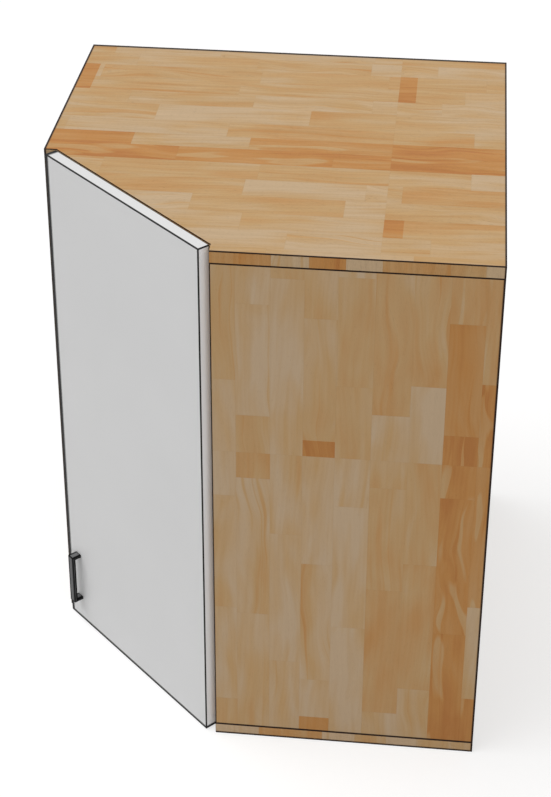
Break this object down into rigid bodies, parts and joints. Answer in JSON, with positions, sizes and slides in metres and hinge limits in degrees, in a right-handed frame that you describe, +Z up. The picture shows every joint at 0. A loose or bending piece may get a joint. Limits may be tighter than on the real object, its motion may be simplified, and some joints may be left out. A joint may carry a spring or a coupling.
{
  "type": "corner wall cabinet",
  "caption": "Diagonal corner wall cabinet of laminated wood, with a pale slab door on concealed hinges, loose shelves and a small bar handle.",
  "frame": {"origin": "the room corner at the level of the cabinet's underside, where its two wall planes meet", "axes": "+X and +Y point into the two walls that it hangs on, +Z is up; the door faces -X-Y"},
  "size_m": [0.6, 0.6, 0.754],
  "materials": {
    "laminated_wood": "clear-lacquered laminated board of tan to orange-brown staves",
    "back_sheet": "thin lacquered board",
    "door_finish": "board lacquered pale grey, satin",
    "handle_finish": "powder coat, dark grey",
    "plated_steel": "zinc-plated",
    "hinge_steel": "nickel-plated",
    "zinc": "die-cast, bare",
    "beech": "bare fluted dowel stock",
    "clear_bumper": "soft clear bumper"
  },
  "bodies": {
    "cabinet": {"bottom_panel": "laminated_wood", "top_panel": "laminated_wood", "right_side_panel": "laminated_wood", "left_side_panel": "laminated_wood", "corner_post": "laminated_wood", "right_upper_rail": "laminated_wood", "left_upper_rail": "laminated_wood", "right_lower_rail": "laminated_wood", "left_lower_rail": "laminated_wood", "lower_shelf": "laminated_wood", "upper_shelf": "laminated_wood", "right_back_panel": "back_sheet", "left_back_panel": "back_sheet", "panel_dowels": "beech", "rail_dowels": "beech", "cam_bolts": "plated_steel", "cam_locks": "zinc", "lower_shelf_pins": "plated_steel", "upper_shelf_pins": "plated_steel", "lower_hinge_arm": "hinge_steel", "lower_hinge_arm_pin": "hinge_steel", "lower_hinge_plate": "hinge_steel", "lower_hinge_plate_screws": "hinge_steel", "lower_hinge_fixing_screw": "hinge_steel", "upper_hinge_arm": "hinge_steel", "upper_hinge_arm_pin": "hinge_steel", "upper_hinge_plate": "hinge_steel", "upper_hinge_plate_screws": "hinge_steel", "upper_hinge_fixing_screw": "hinge_steel"},
    "outer_links": {"lower_hinge_outer_link": "hinge_steel", "lower_hinge_outer_pin": "hinge_steel", "upper_hinge_outer_link": "hinge_steel", "upper_hinge_outer_pin": "hinge_steel"},
    "inner_links": {"lower_hinge_inner_link": "hinge_steel", "upper_hinge_inner_link": "hinge_steel"},
    "door": {"door_panel": "door_finish", "handle": "handle_finish", "handle_screws": "plated_steel", "door_bumpers": "clear_bumper", "lower_hinge_cup": "hinge_steel", "lower_hinge_cup_pins": "hinge_steel", "lower_hinge_cup_screws": "hinge_steel", "upper_hinge_cup": "hinge_steel", "upper_hinge_cup_pins": "hinge_steel", "upper_hinge_cup_screws": "hinge_steel"}
  },
  "joints": [
    {"name": "outer_link_turn", "type": "hinge", "parent": "cabinet", "child": "outer_links", "pos_m": [-0.36803, -0.55493, 0.377], "axis": [0, 0, -1], "range_deg": [0, 34.2]},
    {"name": "door_swing", "type": "hinge", "parent": "outer_links", "child": "door", "pos_m": [-0.35997, -0.57727, 0.377], "axis": [0, 0, 1], "range_deg": [0, 124.2], "stiffness_Nm_per_rad": 0.25, "springref_deg": -5.73},
    {"name": "inner_link_turn", "type": "hinge", "parent": "cabinet", "child": "inner_links", "pos_m": [-0.37355, -0.57077, 0.377], "axis": [0, 0, -1], "range_deg": [0, 49.5]}
  ],
  "couplings": [
    {"joint": "outer_link_turn", "follows": "door_swing", "ratio": 0.27536},
    {"joint": "inner_link_turn", "follows": "door_swing", "ratio": 0.39855}
  ]
}
